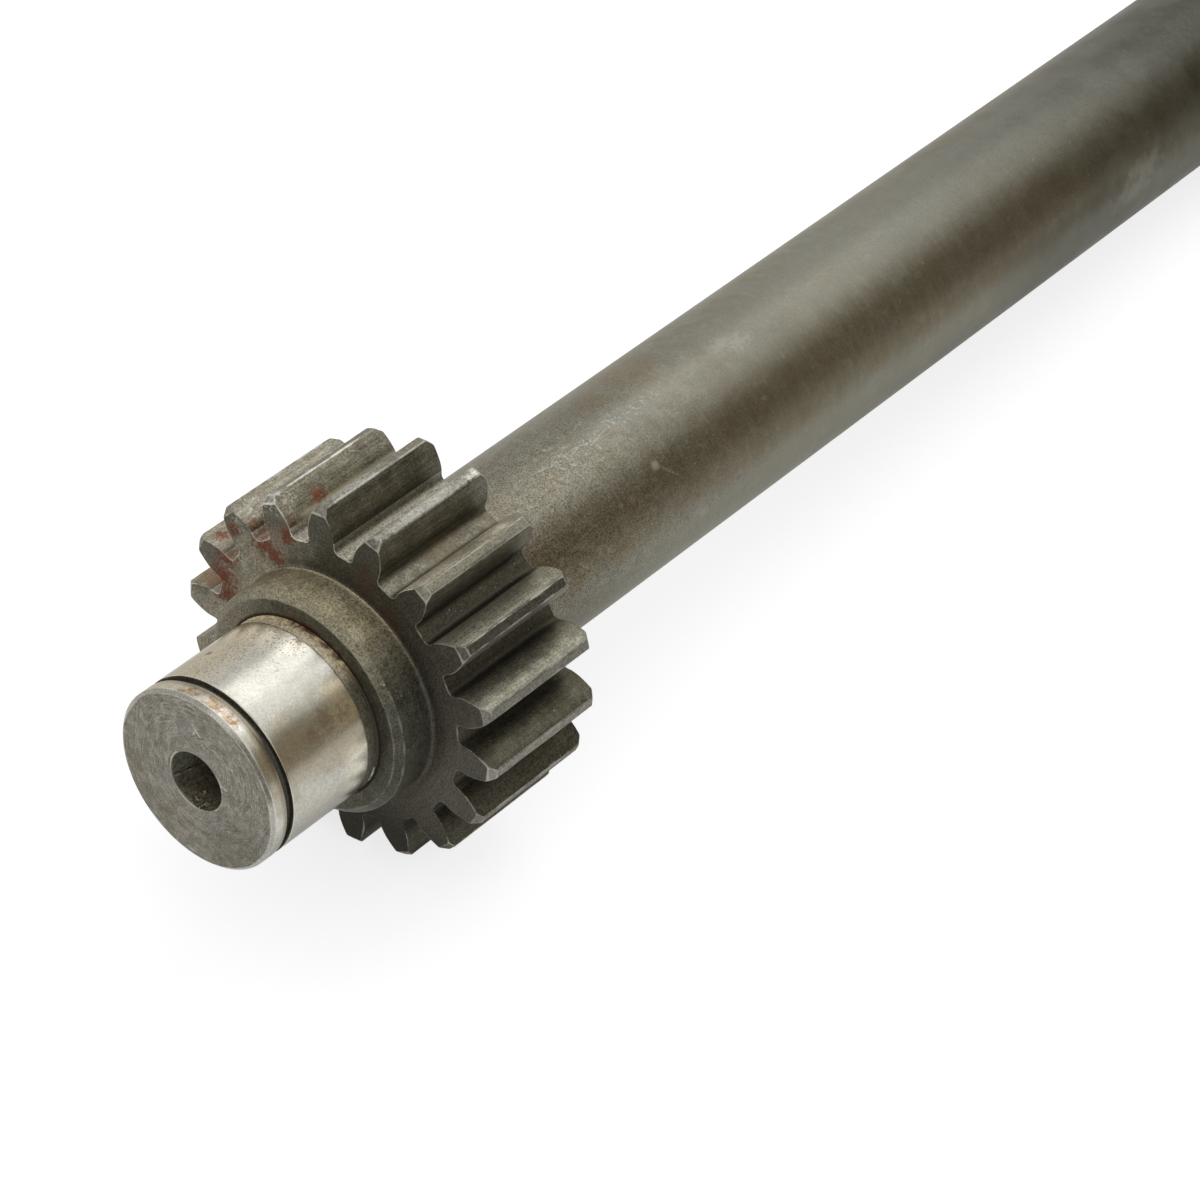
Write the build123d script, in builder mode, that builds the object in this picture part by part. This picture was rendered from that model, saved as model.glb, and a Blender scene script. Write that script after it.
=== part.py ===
"""Power take-off stub shaft with its pinion cut on it, turned and hobbed from one piece of steel.

The shaft axis is the X axis. X starts at the end face of the bearing journal and grows
towards the plain end. Z is up, with a tooth space straight below the axis and one straight above it.
Lengths are in millimetres and angles in degrees.
"""

import os
from math import atan, cos, pi, radians, sin, sqrt, tan

from build123d import *

# Bearing journal and its collar
journal_diameter = 35.0
journal_length = 26.7
journal_end_chamfer = 0.6
relief_width = 2.7
relief_depth = 0.2
collar_diameter = 44.0
collar_width = 8.6
collar_chamfer = 1.3
collar_fillet = 0.8

# Groove for the retaining ring that holds the bearing
ring_groove_offset = 3.4
ring_groove_width = 1.6
ring_groove_diameter = 33.0

# Drilled bore in the journal end
bore_diameter = 11.5
bore_depth = 35.0
drill_point_angle = 118.0

# Pinion
gear_module = 3.5
teeth = 18
pressure_angle = 20.0
face_width = 28.0
addendum_factor = 1.13
dedendum_factor = 1.1
tooth_root_fillet = 1.1
tooth_end_bevel = 1.2

# Plain shaft behind the pinion
body_diameter = 36.0
body_length = 316.7
body_fillet = 1.5
body_end_chamfer = 1.5

# Radii of the turned steps
journal_radius = journal_diameter / 2
relief_radius = journal_radius - relief_depth
ring_groove_radius = ring_groove_diameter / 2
collar_radius = collar_diameter / 2
bore_radius = bore_diameter / 2
body_radius = body_diameter / 2

# Places of the steps along the axis
gear_front = journal_length + collar_width
gear_back = gear_front + face_width
shaft_end = gear_back + body_length

# Sizes of the pinion that follow from its module
pitch_radius = gear_module * teeth / 2
base_radius = pitch_radius * cos(radians(pressure_angle))
tip_radius = pitch_radius + addendum_factor * gear_module
root_radius = pitch_radius - dedendum_factor * gear_module

# The cutting outline runs on past the tip circle and past both tooth ends
cutter_margin = 1.0
cutter_radius = tip_radius + cutter_margin
flank_steps = 6


def roll_at(radius):
    """Roll angle, in radians, at which the involute reaches this radius."""
    return sqrt((radius / base_radius) ** 2 - 1)


def polar_angle(roll):
    """Angle, in radians, that the involute has turned round the axis at this roll angle."""
    return roll - atan(roll)


# Half of a tooth space on the base circle, which leaves tooth and space equal on the pitch circle
space_half_angle = pi / (2 * teeth) - polar_angle(roll_at(pitch_radius))


def flank_point(roll):
    """Point of the flank above a tooth space that is centred on the local X axis."""
    radius = base_radius * sqrt(1 + roll**2)
    angle = space_half_angle + polar_angle(roll)
    return radius * cos(angle), radius * sin(angle)


def rim(turned, place, radius):
    """The circular edge of this radius at this place along the axis."""
    near = turned.edges().filter_by(GeomType.CIRCLE).filter_by_position(Axis.X, place - 0.01, place + 0.01)
    return near.filter_by(lambda edge: abs(edge.radius - radius) < 0.01)


# Outline of one tooth space: involute flanks, radial sides below the base circle, filleted root
with BuildSketch() as tooth_space:
    with BuildLine():
        last_roll = roll_at(cutter_radius)
        flank = Spline(*[flank_point(last_roll * step / flank_steps) for step in range(flank_steps + 1)])
        root_corner = (root_radius * cos(space_half_angle), root_radius * sin(space_half_angle))
        Line(root_corner, flank @ 0)
        mirror(about=Plane.XZ)
        ThreePointArc(root_corner, (root_radius, 0), (root_corner[0], -root_corner[1]))
        ThreePointArc(flank @ 1, (cutter_radius, 0), ((flank @ 1).X, -(flank @ 1).Y))
    make_face()
    fillet(tooth_space.vertices().sort_by(Axis.X)[:2], radius=tooth_root_fillet)

with BuildPart() as pto_stub_shaft:
    # Turned blank: journal, ring groove, relief, collar, pinion blank and plain shaft
    with BuildSketch(Plane.XZ):
        with BuildLine():
            Polyline(
                (0, 0),
                (0, journal_radius),
                (ring_groove_offset, journal_radius),
                (ring_groove_offset, ring_groove_radius),
                (ring_groove_offset + ring_groove_width, ring_groove_radius),
                (ring_groove_offset + ring_groove_width, journal_radius),
                (journal_length - relief_width, journal_radius),
                (journal_length - relief_width, relief_radius),
                (journal_length, relief_radius),
                (journal_length, collar_radius),
                (gear_front, collar_radius),
                (gear_front, tip_radius - tooth_end_bevel),
                (gear_front + tooth_end_bevel, tip_radius),
                (gear_back - tooth_end_bevel, tip_radius),
                (gear_back, tip_radius - tooth_end_bevel),
                (gear_back, body_radius),
                (shaft_end, body_radius),
                (shaft_end, 0),
                close=True,
            )
        make_face()
    revolve(axis=Axis.X)
    chamfer(rim(pto_stub_shaft, 0, journal_radius), length=journal_end_chamfer)
    chamfer(rim(pto_stub_shaft, journal_length, collar_radius), length=collar_chamfer)
    chamfer(rim(pto_stub_shaft, shaft_end, body_radius), length=body_end_chamfer)
    fillet(rim(pto_stub_shaft, gear_front, collar_radius), radius=collar_fillet)
    fillet(rim(pto_stub_shaft, gear_back, body_radius), radius=body_fillet)

    # Blind bore with the cone that the drill leaves
    with BuildSketch(Plane.XZ):
        with BuildLine():
            drill_cone = bore_radius / tan(radians(drill_point_angle / 2))
            Polyline((0, 0), (0, bore_radius), (bore_depth, bore_radius), (bore_depth + drill_cone, 0), close=True)
        make_face()
    revolve(axis=Axis.X, mode=Mode.SUBTRACT)

    # Teeth: the spaces between them are cut right through the blank, one of them straight down
    with BuildSketch(Plane.YZ.offset(gear_front - cutter_margin)):
        with PolarLocations(0, teeth, start_angle=-90):
            add(tooth_space.sketch_local)
    extrude(amount=face_width + 2 * cutter_margin, mode=Mode.SUBTRACT)

pto_stub_shaft.part.label = "pto_stub_shaft"

os.makedirs("parts", exist_ok=True)
export_step(pto_stub_shaft.part, "parts/pto_stub_shaft.step")
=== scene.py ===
"""A power take-off stub shaft of scaled and ground steel, lying on a white table under one large softbox."""

from math import asin, atan, atan2, cos, exp, hypot, pi, radians, sin, sqrt, tan

import bmesh
import bpy
from mathutils import Matrix, Vector, noise


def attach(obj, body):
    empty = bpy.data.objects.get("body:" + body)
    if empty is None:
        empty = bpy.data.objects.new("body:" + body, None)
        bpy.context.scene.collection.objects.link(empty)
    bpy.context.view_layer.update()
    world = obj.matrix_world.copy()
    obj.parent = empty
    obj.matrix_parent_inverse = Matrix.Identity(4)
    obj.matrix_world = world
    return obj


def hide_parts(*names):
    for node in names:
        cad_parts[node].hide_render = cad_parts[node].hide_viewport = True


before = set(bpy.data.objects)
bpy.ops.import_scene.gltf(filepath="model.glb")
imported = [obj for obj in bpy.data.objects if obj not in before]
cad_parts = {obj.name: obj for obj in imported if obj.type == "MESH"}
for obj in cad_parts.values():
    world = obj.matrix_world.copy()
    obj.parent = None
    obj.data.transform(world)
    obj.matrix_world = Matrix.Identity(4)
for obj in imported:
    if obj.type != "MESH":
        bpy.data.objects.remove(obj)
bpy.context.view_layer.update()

MM = 0.001

# Sizes of the part, in millimetres, and its pressure angle
JOURNAL_RADIUS = 17.5
JOURNAL_LENGTH = 26.7
END_CHAMFER = 0.6
GROOVE_FRONT = 3.4
GROOVE_BACK = 5.0
GROOVE_RADIUS = 16.5
RELIEF_FRONT = 24.0
RELIEF_RADIUS = 17.3
COLLAR_RADIUS = 22.0
COLLAR_CHAMFER = 1.3
COLLAR_FILLET = 0.8
BORE_RADIUS = 5.75
BORE_DEPTH = 35.0
DRILL_CONE = 3.4549
TEETH = 18
GEAR_FRONT = 35.3
GEAR_BACK = 63.3
PITCH_RADIUS = 31.5
PRESSURE_ANGLE = radians(20)
TIP_RADIUS = 35.45
ROOT_RADIUS = 27.65
ROOT_FILLET = 1.1
TOOTH_BEVEL = 1.2
BODY_RADIUS = 18.0
BODY_FILLET = 1.5
BODY_CHAMFER = 1.5
SHAFT_END = 380.0

BASE_RADIUS = PITCH_RADIUS * cos(PRESSURE_ANGLE)
HALF_PITCH_ANGLE = pi / TEETH

# Rounding of the tooth edges, and how wide the wear along them is, in millimetres
EDGE_ROUND = 0.26
TIP_WEAR = 0.3
END_WEAR = 0.24
BEVEL_WEAR = 0.25

# Distance from the tip corner that points on its rounding and points in the root are given, in millimetres
ON_THE_EDGE = 0.1
FAR_FROM_EDGE = 9.0

# How strong the wear is at the tooth ends, and how far from a turned corner it has faded, in millimetres
END_WEAR_SHARE = 0.94
WEAR_FADED = 0.38

# Rings that only carry the mesh across long or flat stretches, in millimetres
BORE_RING = 14.0
END_FACE_RING = 11.0
JOURNAL_RING = 14.5
GEAR_FACE_RINGS = (25.5, 26.6)
BODY_RINGS = [GEAR_BACK + 18.0 + 24.5 * step for step in range(12)]
FAR_FACE_RING = 10.0

# Points of a tooth outline: shares of the way up the flank and over the land, and depth marks of the fillet
FLANK_SHARES = (0.0, 0.18, 0.38, 0.58, 0.76, 0.9, 1.0)
LAND_SHARES = (0.0, 0.35, 1.0)
FILLET_DEPTHS = (0.3, 0.75, 1.0, 1.0, 0.8)

# Insets of the outline on the flat tooth end, in millimetres, and how far its tip corner turns in with them
END_INSETS = (0.75, 0.36, 0.13)
CORNER_TURN = 1.06


# Shape of one sector, from the middle of a tooth to the middle of the next
def roll_at(radius):
    """Roll angle at which the involute of the flank reaches this radius."""
    return sqrt(max((radius / BASE_RADIUS) ** 2 - 1, 0.0))


def involute_turn(radius):
    """Angle that the flank has turned round the axis at this radius."""
    roll = roll_at(radius)
    return roll - atan(roll)


# Angle from the middle of a tooth space to the start of its flank, on the base circle
WALL_ANGLE = pi / (2 * TEETH) - involute_turn(PITCH_RADIUS)


def polar(radius, angle):
    """The point at this radius and this angle."""
    return radius * cos(angle), radius * sin(angle)


def curve(start, corner, end, share):
    """A point on the rounding from start to end, which leans towards the corner."""
    return start * (1 - share) ** 2 + corner * 2 * share * (1 - share) + end * share**2


def moved_in(points, inset):
    """Moves a run of points into the steel, square to the run."""
    if inset == 0:
        return points
    moved = []
    for index, (x, y, *marks) in enumerate(points):
        back = points[max(index - 1, 0)]
        ahead = points[min(index + 1, len(points) - 1)]
        along = Vector((ahead[0] - back[0], ahead[1] - back[1])).normalized()
        if index == 0:
            along = Vector((0.0, 1.0))
        moved.append((x - along.y * inset, y + along.x * inset, *marks))
    return moved


def half_outline(limit, inset):
    """Half of a tooth outline, from the middle of the space to the middle of the tooth, moved in by inset.

    Gives (x, y, zone, distance to the tip corner, depth in the root corner) for each point, with x outwards.
    """
    limit -= inset
    middle_angle = WALL_ANGLE - asin(ROOT_FILLET / (ROOT_RADIUS + ROOT_FILLET))
    points = [(*polar(ROOT_RADIUS, middle_angle * share), "root", FAR_FROM_EDGE, 0.0) for share in (0.0, 0.5)]
    centre = Vector((cos(middle_angle), sin(middle_angle))) * (ROOT_RADIUS + ROOT_FILLET)
    first_turn = middle_angle + pi
    last_turn = WALL_ANGLE + pi / 2
    for step, depth in enumerate(FILLET_DEPTHS):
        x, y = polar(ROOT_FILLET, first_turn + (last_turn - first_turn) * step / (len(FILLET_DEPTHS) - 1))
        points.append((centre.x + x, centre.y + y, "root", FAR_FROM_EDGE, depth))

    flank_top = limit - EDGE_ROUND
    corner_angle = WALL_ANGLE + involute_turn(limit)
    corner = Vector(polar(limit, corner_angle))
    for share in FLANK_SHARES:
        radius = BASE_RADIUS + (flank_top - BASE_RADIUS) * share
        spot = Vector(polar(radius, WALL_ANGLE + involute_turn(radius)))
        points.append((*spot, "flank", (spot - corner).length, max(0.0, 0.6 - 2 * share)))

    points = moved_in(points, inset)
    before = Vector(points[-1][:2])
    corner_angle += inset * CORNER_TURN / limit
    corner = Vector(polar(limit, corner_angle))
    land_angle = corner_angle + EDGE_ROUND / limit
    after = Vector(polar(limit, land_angle))
    for share in (0.33, 0.67):
        points.append((*curve(before, corner, after, share), "land", ON_THE_EDGE, 0.0))
    for share in LAND_SHARES:
        spot = Vector(polar(limit, land_angle + (HALF_PITCH_ANGLE - land_angle) * share))
        points.append((*spot, "land", (spot - corner).length, 0.0))
    return points


def whole_outline(limit, inset):
    """A tooth outline from one tooth's middle to the next, moved into the steel by inset."""
    half = half_outline(limit, inset)
    mirrored = [(x, -y, *marks) for x, y, *marks in reversed(half)]
    return mirrored + half[1:]


COLUMNS = len(whole_outline(TIP_RADIUS, 0.0))


def even_angles():
    """Evenly spaced angles over one sector."""
    return [HALF_PITCH_ANGLE * (2 * column / (COLUMNS - 1) - 1) for column in range(COLUMNS)]


def outline_angles():
    """The angles at which the points of the tooth outline stand, so that faces between them never cross."""
    return [atan2(side, up) for up, side, *_ in whole_outline(TIP_RADIUS - TOOTH_BEVEL, END_INSETS[0])]


def turned_ring(x, radius, wear=0.0, recess=0.0, angles=None):
    """A ring of the turned part of the shaft: (x, side, up, zone, wear, recess) for each column."""
    angles = angles or even_angles()
    return [(x, radius * sin(angle), -radius * cos(angle), None, wear, recess) for angle in angles]


def toothed_ring(x, limit, inset, from_face):
    """A ring that follows the teeth, with its wear worked out from how near each point is to an edge."""
    from_bevel = abs(from_face - TOOTH_BEVEL)
    ring = []
    for up, side, zone, distance, recess in whole_outline(limit, inset):
        wear = END_WEAR_SHARE * exp(-((hypot(from_face, inset) / END_WEAR) ** 2))
        if inset == 0:
            wear = max(wear, exp(-((distance / TIP_WEAR) ** 2)))
            if zone == "land":
                wear = max(wear, exp(-((from_bevel / BEVEL_WEAR) ** 2)))
        ring.append((x, side, -up, zone, wear, recess if inset == 0 else 0.0))
    return ring


def soften(corners):
    """Rounds the corners of a profile and marks how near each point is to an outer or an inner corner.

    corners is a list of (x, radius, rounding, zone that follows). Gives (x, radius, zone, wear, recess).
    """
    points = []
    for index, (x, radius, rounding, zone) in enumerate(corners):
        here = Vector((x, radius))
        if index in (0, len(corners) - 1) or rounding == 0:
            points.append((x, radius, zone, 0.0, 0.0))
            continue
        back = Vector(corners[index - 1][:2]) - here
        ahead = Vector(corners[index + 1][:2]) - here
        reach_back, reach_ahead = back.length, ahead.length
        back.normalize()
        ahead.normalize()
        outer = ahead.x * back.y - ahead.y * back.x < 0
        turn = pi - back.angle(ahead)
        # A rounding takes less than half of each side
        most = 0.45 * min(reach_back, reach_ahead)
        cut = min(rounding * tan(turn / 2), most)
        before, after = here + back * cut, here + ahead * cut
        previous_zone = corners[index - 1][3]
        marks = (1.0, 0.0) if outer else (0.0, 1.0)
        # A ring without wear on each side keeps the wear narrow
        quiet = before + back * min(WEAR_FADED, (reach_back - cut) / 3)
        points.append((*quiet, previous_zone, 0.0, 0.0))
        # A wide rounding takes more steps
        steps = 4 if rounding > 0.3 else 2
        for step in range(steps + 1):
            spot = curve(before, here, after, step / steps)
            points.append((*spot, previous_zone if step < steps / 2 else zone, *marks))
        quiet = after + ahead * min(WEAR_FADED, (reach_ahead - cut) / 3)
        points.append((*quiet, zone, 0.0, 0.0))
    return points


def turned_rings(corners):
    """The rings of a turned profile, each with the zone that follows it."""
    return [(turned_ring(x, radius, wear, recess), zone) for x, radius, zone, wear, recess in soften(corners)]


def sector_rings():
    """All rings of one sector, from the bottom of the bore round the outside to the middle of the far end."""
    rings = turned_rings(
        [
            (BORE_DEPTH + DRILL_CONE, 0.0, 0, "bore"),
            (BORE_DEPTH, BORE_RADIUS, 0, "bore"),
            (BORE_RING, BORE_RADIUS, 0, "bore"),
            (0.0, BORE_RADIUS, 0.16, "end_face"),
            (0.0, END_FACE_RING, 0, "end_face"),
            (0.0, JOURNAL_RADIUS - END_CHAMFER, 0.2, "chamfer"),
            (END_CHAMFER, JOURNAL_RADIUS, 0.2, "ground"),
            (GROOVE_FRONT, JOURNAL_RADIUS, 0.12, "groove"),
            (GROOVE_FRONT, GROOVE_RADIUS, 0.15, "groove"),
            (GROOVE_BACK, GROOVE_RADIUS, 0.15, "groove"),
            (GROOVE_BACK, JOURNAL_RADIUS, 0.14, "ground"),
            (JOURNAL_RING, JOURNAL_RADIUS, 0, "ground"),
            (RELIEF_FRONT, JOURNAL_RADIUS, 0.1, "relief"),
            (RELIEF_FRONT + 0.15, RELIEF_RADIUS, 0, "relief"),
            (JOURNAL_LENGTH, RELIEF_RADIUS, 0.4, "shoulder"),
            (JOURNAL_LENGTH, COLLAR_RADIUS - COLLAR_CHAMFER, 0.25, "collar"),
            (JOURNAL_LENGTH + COLLAR_CHAMFER, COLLAR_RADIUS, 0.25, "collar"),
            (GEAR_FRONT, COLLAR_RADIUS, COLLAR_FILLET, "gear_face"),
            (GEAR_FRONT, GEAR_FACE_RINGS[0], 0, "gear_face"),
        ]
    )
    beside_teeth = outline_angles()
    rings.append((turned_ring(GEAR_FRONT, GEAR_FACE_RINGS[1], angles=beside_teeth), "gear_face"))

    # Each station of the teeth: distance from the front face, inset of the outline, drop from the tip circle
    stations = [(0.0, inset, TOOTH_BEVEL) for inset in END_INSETS] + [(0.04, 0.04, 1.16)]
    bevel = [(0.14, 1.06), (0.42, 0.78), (0.8, 0.4), (1.08, 0.12), (1.2, 0.035)]
    stations += [(place, 0.0, below) for place, below in bevel]
    width = GEAR_BACK - GEAR_FRONT
    stations += [(place, 0.0, 0.0) for place in (1.34, 1.75, 4.0, 8.0, width / 2)]
    stations += [(width - place, inset, below) for place, inset, below in reversed(stations[:-1])]
    for place, inset, below in stations:
        ring = toothed_ring(GEAR_FRONT + place, TIP_RADIUS - below, inset, min(place, width - place))
        rings.append((ring, "gear_face" if inset > END_INSETS[-1] else None))
    # A ring's zone lies behind it, so at the back of the teeth the flat end starts one ring earlier
    rings[-3] = (rings[-3][0], "gear_face")

    rings.append((turned_ring(GEAR_BACK, GEAR_FACE_RINGS[1], angles=beside_teeth), "gear_face"))
    return rings + turned_rings(
        [
            (GEAR_BACK, GEAR_FACE_RINGS[0], 0, "gear_face"),
            (GEAR_BACK, BODY_RADIUS, BODY_FILLET, "body"),
            *[(place, BODY_RADIUS, 0, "body") for place in BODY_RINGS],
            (SHAFT_END - BODY_CHAMFER, BODY_RADIUS, 0.25, "far_end"),
            (SHAFT_END, BODY_RADIUS - BODY_CHAMFER, 0.25, "far_end"),
            (SHAFT_END, FAR_FACE_RING, 0, "far_end"),
            (SHAFT_END, 0.0, 0, "far_end"),
        ]
    )


def zone_between(ring, zone, column):
    """The zone of the face after this column, which on the teeth comes from the points beside it."""
    if zone is not None:
        return zone
    pair = (ring[column][3], ring[column + 1][3])
    if "land" in pair:
        return "land"
    if "root" in pair:
        return "root"
    return "plus_side_flank" if ring[column][1] > 0 else "minus_side_flank"


def sector_mesh():
    """The mesh of one sector, with its zones and its wear kept as attributes."""
    places, wears, recesses, faces, zones, starts = [], [], [], [], [], []
    rings = sector_rings()
    last = len(rings) - 1
    for index, (ring, _) in enumerate(rings):
        starts.append(len(places))
        for x, side, up, _, wear, recess in ring[:1] if index in (0, last) else ring:
            places.append((x * MM, side * MM, up * MM))
            wears.append(wear)
            recesses.append(recess)
    for index, (ring, zone) in enumerate(rings[:-1]):
        near, far = starts[index], starts[index + 1]
        for column in range(COLUMNS - 1):
            a, b = near + column, near + column + 1
            c, d = far + column + 1, far + column
            if index == 0:
                faces.append((near, c, d))
            elif index + 1 == last:
                faces.append((a, b, far))
            else:
                faces.append((a, b, c, d))
            zones.append(ZONES.index(zone_between(ring, zone, column)))
    mesh = bpy.data.meshes.new("shaft_sector")
    mesh.from_pydata(places, [], faces)
    mesh.attributes.new("wear", "FLOAT", "POINT").data.foreach_set("value", wears)
    mesh.attributes.new("recess", "FLOAT", "POINT").data.foreach_set("value", recesses)
    mesh.attributes.new("zone", "INT", "FACE").data.foreach_set("value", zones)
    return mesh


# Helpers that build node trees
def colour(value):
    """A colour as four numbers, or the socket that it comes from."""
    return (*value, 1.0) if isinstance(value, tuple) else value


class Wiring:
    """Adds nodes to one node tree and links them up."""

    def __init__(self, tree):
        self.tree = tree

    def add(self, kind, inputs=None, **settings):
        """A new node with these settings, with each input linked to a socket or set to a value."""
        made = self.tree.nodes.new(kind)
        for key, value in settings.items():
            setattr(made, key, value)
        for key, value in (inputs or {}).items():
            if isinstance(value, bpy.types.NodeSocket):
                self.tree.links.new(value, made.inputs[key])
            else:
                made.inputs[key].default_value = value
        return made

    def math(self, operation, a, b=0.0, clamp=False):
        return self.add("ShaderNodeMath", {0: a, 1: b}, operation=operation, use_clamp=clamp).outputs[0]

    def sum(self, a, b):
        return self.math("ADD", a, b)

    def scaled(self, value, factor, offset=0.0):
        return self.sum(self.math("MULTIPLY", value, factor), offset)

    def product(self, first, *others):
        for other in others:
            first = self.math("MULTIPLY", first, other)
        return first

    def strongest(self, first, *others):
        for other in others:
            first = self.math("MAXIMUM", first, other)
        return first

    def vector(self, operation, inputs, output="Vector"):
        return self.add("ShaderNodeVectorMath", inputs, operation=operation).outputs[output]

    def minus(self, a, b):
        """The difference of two vectors."""
        return self.vector("SUBTRACT", {0: a, 1: b})

    def spot(self, x, y, z):
        return self.add("ShaderNodeCombineXYZ", {0: x, 1: y, 2: z}).outputs[0]

    def parts(self, vector):
        return self.add("ShaderNodeSeparateXYZ", {0: vector}).outputs

    def from_axis(self, y, z):
        """Distance from the shaft axis."""
        return self.math("SQRT", self.sum(self.product(y, y), self.product(z, z)))

    def mix(self, factor, a, b, blend="MIX"):
        """Blends two colours."""
        inputs = {0: factor, 6: colour(a), 7: colour(b)}
        return self.add("ShaderNodeMix", inputs, data_type="RGBA", blend_type=blend).outputs[2]

    def noise(self, vector, scale, detail=3.0, roughness=0.55):
        inputs = {"Vector": vector, "Scale": scale, "Detail": detail, "Roughness": roughness}
        return self.add("ShaderNodeTexNoise", inputs).outputs[0]

    def remap(self, value, low, high, to_low=0.0, to_high=1.0):
        """Maps low..high smoothly to to_low..to_high and stays between them."""
        inputs = {0: value, 1: low, 2: high, 3: to_low, 4: to_high}
        return self.add("ShaderNodeMapRange", inputs, interpolation_type="SMOOTHSTEP").outputs[0]


def effect(name, output, **inputs):
    """A new shader node group that reads a position and these inputs, each given with its usual value.

    Gives its wiring, its input sockets and a function that sets its output and gives the group.
    """
    tree = bpy.data.node_groups.new(name, "ShaderNodeTree")
    for label, usual in ({"Position": (0, 0, 0)} | inputs).items():
        kind = "NodeSocketVector" if isinstance(usual, tuple) else "NodeSocketFloat"
        tree.interface.new_socket(name=label, in_out="INPUT", socket_type=kind).default_value = usual
    tree.interface.new_socket(name=output, in_out="OUTPUT", socket_type="NodeSocketFloat")
    given = tree.nodes.new("NodeGroupInput").outputs
    leaving = tree.nodes.new("NodeGroupOutput").inputs

    def finished(value):
        tree.links.new(value, leaving[output])
        return tree

    return Wiring(tree), given, finished


# Effects that several finishes share
def make_tool_lines():
    """Fine lines that a cutting edge or a grinding wheel leaves round the shaft axis."""
    wiring, given, finished = effect("tool_lines", "Line", Across=0.0, Pitch=0.0004, Drift=60.0)
    _, y, z = wiring.parts(given["Position"])
    across = wiring.math("DIVIDE", given["Across"], given["Pitch"])
    spot = wiring.spot(across, wiring.product(y, given["Drift"]), wiring.product(z, given["Drift"]))
    return finished(wiring.remap(wiring.noise(spot, 1.0, 2.0, 0.6), 0.3, 0.7))


def make_tooth_streaks():
    """Fine streaks along the flanks and roots that cutting the teeth left."""
    wiring, given, finished = effect("tooth_streaks", "Streak", Pitch=0.0003, Drift=110.0)
    x, y, z = wiring.parts(given["Position"])
    height = wiring.math("DIVIDE", wiring.from_axis(y, z), given["Pitch"])
    spot = wiring.spot(height, wiring.product(x, given["Drift"]), wiring.product(y, given["Drift"]))
    return finished(wiring.remap(wiring.noise(spot, 1.0, 2.0, 0.6), 0.3, 0.7))


def make_mottle():
    """Soft clouds, for scale and tarnish."""
    wiring, given, finished = effect("mottle", "Cloud", Size=0.01, Low=0.35, High=0.65)
    cloud = wiring.noise(given["Position"], wiring.math("DIVIDE", 1.0, given["Size"]), 5.0, 0.6)
    return finished(wiring.remap(cloud, given["Low"], given["High"]))


def make_grit():
    """The sandy grain of blasted and heat-treated steel, coarse and fine together."""
    wiring, given, finished = effect("grit", "Grain", Size=0.0005)
    scale = wiring.math("DIVIDE", 1.0, given["Size"])
    fine = wiring.noise(given["Position"], scale, 2.0, 0.75)
    coarse = wiring.noise(given["Position"], wiring.product(scale, 0.27), 2.0, 0.6)
    both = wiring.sum(wiring.product(fine, 0.84), wiring.product(coarse, 0.16))
    return finished(wiring.remap(both, 0.32, 0.68))


def make_specks():
    """Small scattered flecks, of uneven size and outline."""
    wiring, given, finished = effect("specks", "Speck", Spacing=0.002, Share=0.3, Dot=0.25)
    scale = wiring.math("DIVIDE", 1.0, given["Spacing"])
    warp = {"Vector": given["Position"], "Scale": wiring.product(scale, 3.5), "Detail": 1.0}
    shift = wiring.minus(wiring.add("ShaderNodeTexNoise", warp).outputs["Color"], (0.5, 0.5, 0.5))
    moved = wiring.vector("SCALE", {0: shift, "Scale": wiring.product(given["Spacing"], 0.5)})
    place = wiring.vector("ADD", {0: given["Position"], 1: moved})
    cells = wiring.add("ShaderNodeTexVoronoi", {"Vector": place, "Scale": scale}).outputs
    chance = wiring.add("ShaderNodeSeparateColor", {0: cells["Color"]}).outputs
    shown = wiring.math("LESS_THAN", chance[0], given["Share"])
    size = wiring.product(given["Dot"], wiring.sum(0.4, chance[1]))
    near = wiring.math("SUBTRACT", 1.0, wiring.math("DIVIDE", cells["Distance"], size))
    return finished(wiring.product(shown, wiring.remap(near, 0.0, 0.6)))


def make_patch():
    """One ragged patch that thins out from a place, for rust, a stain or a worn spot."""
    sizes = {"Centre": (0, 0, 0), "Stretch": (1, 1, 1), "Radius": 0.003, "Grain": 0.0012, "Ragged": 1.0}
    wiring, given, finished = effect("patch", "Patch", **sizes)
    offset = wiring.minus(given["Position"], given["Centre"])
    drawn = wiring.vector("MULTIPLY", {0: offset, 1: given["Stretch"]})
    reach = wiring.math("DIVIDE", wiring.vector("LENGTH", {0: drawn}, "Value"), given["Radius"])
    cloud = wiring.noise(given["Position"], wiring.math("DIVIDE", 1.0, given["Grain"]), 5.0, 0.72)
    rough = wiring.product(wiring.math("SUBTRACT", cloud, 0.5), given["Ragged"], 3.4)
    return finished(wiring.remap(wiring.sum(reach, rough), 1.15, 0.2))


def make_scratch():
    """One straight scratch between two places, thin at its ends."""
    wiring, given, finished = effect("scratch", "Scratch", Start=(0, 0, 0), End=(0, 0, 0), Width=0.0002)
    run = wiring.minus(given["End"], given["Start"])
    offset = wiring.minus(given["Position"], given["Start"])
    along = wiring.vector("DOT_PRODUCT", {0: offset, 1: run}, "Value")
    whole = wiring.vector("DOT_PRODUCT", {0: run, 1: run}, "Value")
    share = wiring.math("DIVIDE", along, whole, clamp=True)
    apart = wiring.minus(offset, wiring.vector("SCALE", {0: run, "Scale": share}))
    gap = wiring.vector("LENGTH", {0: apart}, "Value")
    middle = wiring.math("SUBTRACT", 1.0, wiring.math("ABSOLUTE", wiring.math("SUBTRACT", share, 0.5)))
    line = wiring.remap(wiring.math("DIVIDE", gap, wiring.product(given["Width"], middle)), 1.0, 0.2)
    broken = wiring.remap(wiring.noise(given["Position"], 1500.0, 1.0), 0.35, 0.55)
    return finished(wiring.product(line, broken))


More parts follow.
